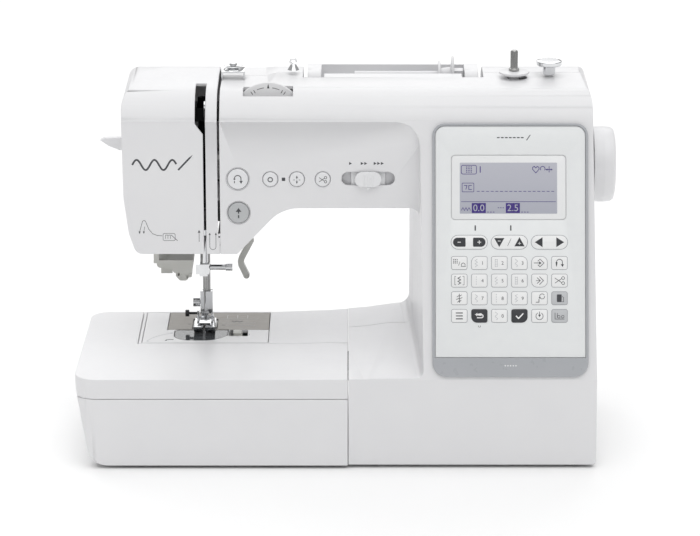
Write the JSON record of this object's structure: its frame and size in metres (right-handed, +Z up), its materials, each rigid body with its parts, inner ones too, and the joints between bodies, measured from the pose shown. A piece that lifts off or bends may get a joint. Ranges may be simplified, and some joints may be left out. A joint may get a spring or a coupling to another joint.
{
  "type": "sewing machine",
  "caption": "Computerised domestic sewing machine: free arm with lift-off flat bed, head with needle and presser foot, sloping control panel with screen and keys, handwheel and folding handle.",
  "frame": {"origin": "on the table, under the middle of the machine's bounding box", "axes": "+X to the operator's right, towards the handwheel; +Y away from the operator, so the control panel faces -Y; +Z up"},
  "size_m": [0.4128, 0.178, 0.299],
  "materials": {
    "housing_white": "moulded ABS, soft gloss",
    "grey_plastic": "satin grey moulding",
    "panel_rim": "silver-grey, satin",
    "key_membrane": "printed membrane, satin",
    "screen_glass": "clear window over a grey-blue display",
    "circuit_board": "green laminate",
    "chrome_parts": "polished",
    "steel_parts": "ground steel",
    "frame_casting": "as cast",
    "lever_casting": "cast, grey lacquer",
    "clear_plastic": "clear, smoky",
    "black_plastic": "matte black",
    "rubber_black": "soft, matt"
  },
  "bodies": {
    "housing": {"front_cover": "housing_white", "rear_cover": "housing_white", "face_cover": "housing_white", "base_plate": "grey_plastic", "rubber_foot_1": "rubber_black", "rubber_foot_2": "rubber_black", "rubber_foot_3": "rubber_black", "rubber_foot_4": "rubber_black", "free_arm_cover": "housing_white", "needle_plate_cover": "housing_white", "needle_plate": "steel_parts", "bobbin_cover": "clear_plastic", "machine_frame": "frame_casting", "panel_bezel": "panel_rim", "key_panel": "key_membrane", "display_window": "screen_glass", "display_board": "circuit_board", "pretension_guide": "chrome_parts", "thread_guide": "chrome_parts", "spool_pin": "housing_white", "winder_stop": "chrome_parts", "drive_motor": "steel_parts", "power_inlet": "black_plastic", "timing_belt": "rubber_black", "bobbin_case": "black_plastic"},
    "drive": {"handwheel": "housing_white", "upper_shaft": "steel_parts"},
    "lower_drive": {"lower_shaft": "steel_parts"},
    "hook": {"hook_race": "steel_parts"},
    "bobbin": {"bobbin": "clear_plastic"},
    "needle_bar": {"needle_bar": "chrome_parts", "needle": "steel_parts"},
    "needle_clamp_screw": {"needle_clamp_screw": "chrome_parts"},
    "presser_bar": {"presser_bar": "steel_parts", "foot_holder": "chrome_parts"},
    "foot_screw": {"foot_screw": "chrome_parts"},
    "presser_foot": {"presser_foot": "chrome_parts"},
    "foot_level_button": {"foot_level_button": "black_plastic"},
    "presser_lever": {"presser_lever": "lever_casting"},
    "take_up_lever": {"take_up_lever": "chrome_parts"},
    "threader": {"threader_lever": "housing_white", "threader_head": "grey_plastic"},
    "buttonhole_lever": {"buttonhole_lever": "grey_plastic"},
    "feed": {"feed_dog": "steel_parts"},
    "bobbin_cover_latch": {"bobbin_cover_latch": "grey_plastic"},
    "flat_bed_tray": {"flat_bed_tray": "housing_white"},
    "accessory_door": {"accessory_door": "housing_white"},
    "carry_handle": {"carry_handle": "housing_white"},
    "winder": {"winder_seat": "housing_white"},
    "winder_spindle": {"winder_spindle": "steel_parts"},
    "spool_cap": {"spool_cap": "housing_white"},
    "tension_dial": {"tension_dial": "housing_white"},
    "reverse_button": {"reverse_button": "housing_white"},
    "start_stop_button": {"start_stop_button": "grey_plastic"},
    "reinforcement_button": {"reinforcement_button": "housing_white"},
    "needle_position_button": {"needle_position_button": "housing_white"},
    "thread_cut_button": {"thread_cut_button": "housing_white"},
    "speed_slider": {"speed_slider": "housing_white"},
    "power_switch": {"power_switch": "grey_plastic"},
    "drop_feed_lever": {"drop_feed_lever": "grey_plastic"}
  },
  "joints": [
    {"name": "handwheel_turn", "type": "hinge", "parent": "housing", "child": "drive", "pos_m": [0.198, 0.042, 0.2045], "axis": [1, 0, 0], "continuous": true},
    {"name": "lower_shaft_turn", "type": "hinge", "parent": "housing", "child": "lower_drive", "pos_m": [0, 0.022, 0.038], "axis": [1, 0, 0], "continuous": true},
    {"name": "hook_turn", "type": "hinge", "parent": "housing", "child": "hook", "pos_m": [-0.113, 0.022, 0.05], "axis": [0, 0, 1], "continuous": true},
    {"name": "bobbin_turn", "type": "hinge", "parent": "housing", "child": "bobbin", "pos_m": [-0.113, 0.022, 0.06], "axis": [0, 0, 1], "continuous": true},
    {"name": "needle_bar_stroke", "type": "slide", "parent": "housing", "child": "needle_bar", "axis": [0, 0, -1], "range_m": [0, 0.033]},
    {"name": "needle_clamp_screw_turn", "type": "hinge", "parent": "needle_bar", "child": "needle_clamp_screw", "pos_m": [-0.1, 0.041, 0.1212], "axis": [1, 0, 0], "range_deg": [0, 180]},
    {"name": "presser_bar_lift", "type": "slide", "parent": "housing", "child": "presser_bar", "axis": [0, 0, 1], "range_m": [0, 0.006]},
    {"name": "foot_screw_turn", "type": "hinge", "parent": "presser_bar", "child": "foot_screw", "pos_m": [-0.12, 0.053, 0.089], "axis": [1, 0, 0], "range_deg": [0, 180]},
    {"name": "presser_foot_tilt", "type": "hinge", "parent": "presser_bar", "child": "presser_foot", "pos_m": [-0.113, 0.0482, 0.078], "axis": [1, 0, 0], "range_deg": [-5, 3]},
    {"name": "foot_level_press", "type": "slide", "parent": "presser_foot", "child": "foot_level_button", "axis": [1, 0, 0], "range_m": [0, 0.0012], "stiffness_N_per_m": 300},
    {"name": "presser_lever_lift", "type": "hinge", "parent": "housing", "child": "presser_lever", "pos_m": [-0.092, 0.066, 0.168], "axis": [0, -1, 0], "range_deg": [0, 55]},
    {"name": "take_up_stroke", "type": "hinge", "parent": "housing", "child": "take_up_lever", "pos_m": [-0.1086, 0.04, 0.228], "axis": [1, 0, 0], "range_deg": [0, 58]},
    {"name": "threader_stroke", "type": "slide", "parent": "housing", "child": "threader", "axis": [0, 0, -1], "range_m": [0, 0.022], "stiffness_N_per_m": 60, "springref_m": -0.01},
    {"name": "buttonhole_lever_drop", "type": "slide", "parent": "housing", "child": "buttonhole_lever", "axis": [0, 0, -1], "range_m": [0, 0.038]},
    {"name": "feed_stroke", "type": "slide", "parent": "housing", "child": "feed", "axis": [0, 1, 0], "range_m": [-0.002, 0.002]},
    {"name": "bobbin_latch_slide", "type": "slide", "parent": "housing", "child": "bobbin_cover_latch", "axis": [1, 0, 0], "range_m": [0, 0.004]},
    {"name": "tray_slide", "type": "slide", "parent": "housing", "child": "flat_bed_tray", "axis": [-1, 0, 0], "range_m": [0, 0.21]},
    {"name": "accessory_door_open", "type": "hinge", "parent": "flat_bed_tray", "child": "accessory_door", "pos_m": [-0.095, -0.0836, 0.0078], "axis": [1, 0, 0], "range_deg": [0, 80]},
    {"name": "carry_handle_lift", "type": "hinge", "parent": "housing", "child": "carry_handle", "pos_m": [0.0345, 0.035, 0.272], "axis": [1, 0, 0], "range_deg": [0, 90]},
    {"name": "winder_shift", "type": "slide", "parent": "housing", "child": "winder", "axis": [1, 0, 0], "range_m": [0, 0.005]},
    {"name": "winder_spindle_turn", "type": "hinge", "parent": "winder", "child": "winder_spindle", "pos_m": [0.127, 0.024, 0.29], "axis": [0, 0, 1], "continuous": true},
    {"name": "spool_cap_pull", "type": "slide", "parent": "housing", "child": "spool_cap", "axis": [-1, 0, 0], "range_m": [0, 0.078]},
    {"name": "tension_dial_turn", "type": "hinge", "parent": "housing", "child": "tension_dial", "pos_m": [-0.0605, -0.01223, 0.25513], "axis": [0, -0.9397, 0.342], "range_deg": [-130, 130]},
    {"name": "reverse_button_press", "type": "slide", "parent": "housing", "child": "reverse_button", "axis": [0, 1, 0], "range_m": [0, 0.001], "stiffness_N_per_m": 400},
    {"name": "start_stop_button_press", "type": "slide", "parent": "housing", "child": "start_stop_button", "axis": [0, 1, 0], "range_m": [0, 0.001], "stiffness_N_per_m": 400},
    {"name": "reinforcement_button_press", "type": "slide", "parent": "housing", "child": "reinforcement_button", "axis": [0, 1, 0], "range_m": [0, 0.001], "stiffness_N_per_m": 400},
    {"name": "needle_position_button_press", "type": "slide", "parent": "housing", "child": "needle_position_button", "axis": [0, 1, 0], "range_m": [0, 0.001], "stiffness_N_per_m": 400},
    {"name": "thread_cut_button_press", "type": "slide", "parent": "housing", "child": "thread_cut_button", "axis": [0, 1, 0], "range_m": [0, 0.001], "stiffness_N_per_m": 400},
    {"name": "speed_slider_move", "type": "slide", "parent": "housing", "child": "speed_slider", "axis": [1, 0, 0], "range_m": [-0.009, 0.009]},
    {"name": "power_switch_rock", "type": "hinge", "parent": "housing", "child": "power_switch", "pos_m": [0.186, 0.064, 0.074], "axis": [0, -1, 0], "range_deg": [0, 9]},
    {"name": "drop_feed_slide", "type": "slide", "parent": "housing", "child": "drop_feed_lever", "axis": [1, 0, 0], "range_m": [0, 0.014]}
  ],
  "couplings": [
    {"joint": "lower_shaft_turn", "follows": "handwheel_turn", "ratio": 1},
    {"joint": "hook_turn", "follows": "handwheel_turn", "ratio": 2},
    {"joint": "presser_bar_lift", "follows": "presser_lever_lift", "m_per_rad": 0.0062505}
  ]
}
